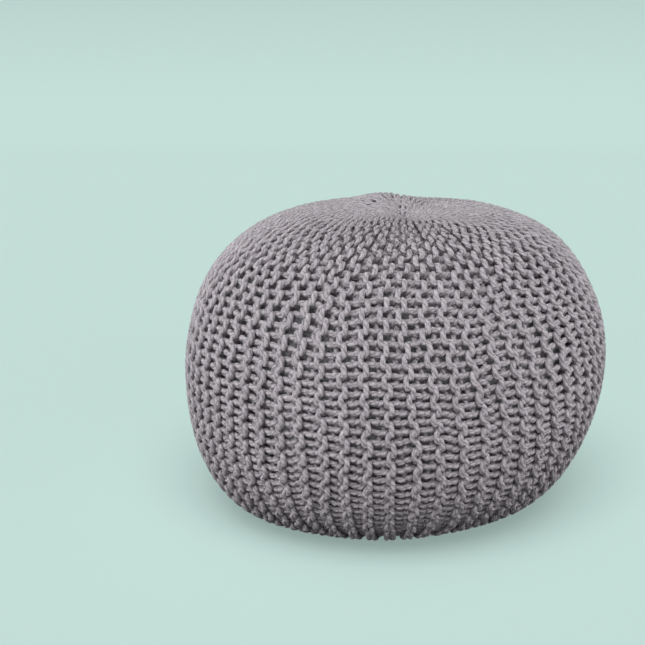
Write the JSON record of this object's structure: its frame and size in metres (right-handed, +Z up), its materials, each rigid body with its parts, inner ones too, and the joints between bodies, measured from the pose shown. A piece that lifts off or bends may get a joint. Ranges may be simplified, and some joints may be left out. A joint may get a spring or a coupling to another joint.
{
  "type": "knitted pouf",
  "caption": "Round, flat-topped floor pouf: a tightly filled grey liner inside a chunky garter-stitch cotton cover gathered to an eye at top and bottom.",
  "frame": {"origin": "centre of the footprint, on the surface that the pouf stands on", "axes": "+Z up through the gathered top, -Y towards the front, +X to the front's right, the side that the top leans to"},
  "size_m": [0.5001, 0.5, 0.3519],
  "materials": {
    "cotton_yarn": "soft plied cotton yarn, warm grey, matt, with a faint fuzz",
    "liner_cloth": "plain woven liner cloth, cool mid grey, matt"
  },
  "bodies": {
    "root": {"knitted_cover": "cotton_yarn", "filled_liner": "liner_cloth"}
  },
  "joints": []
}
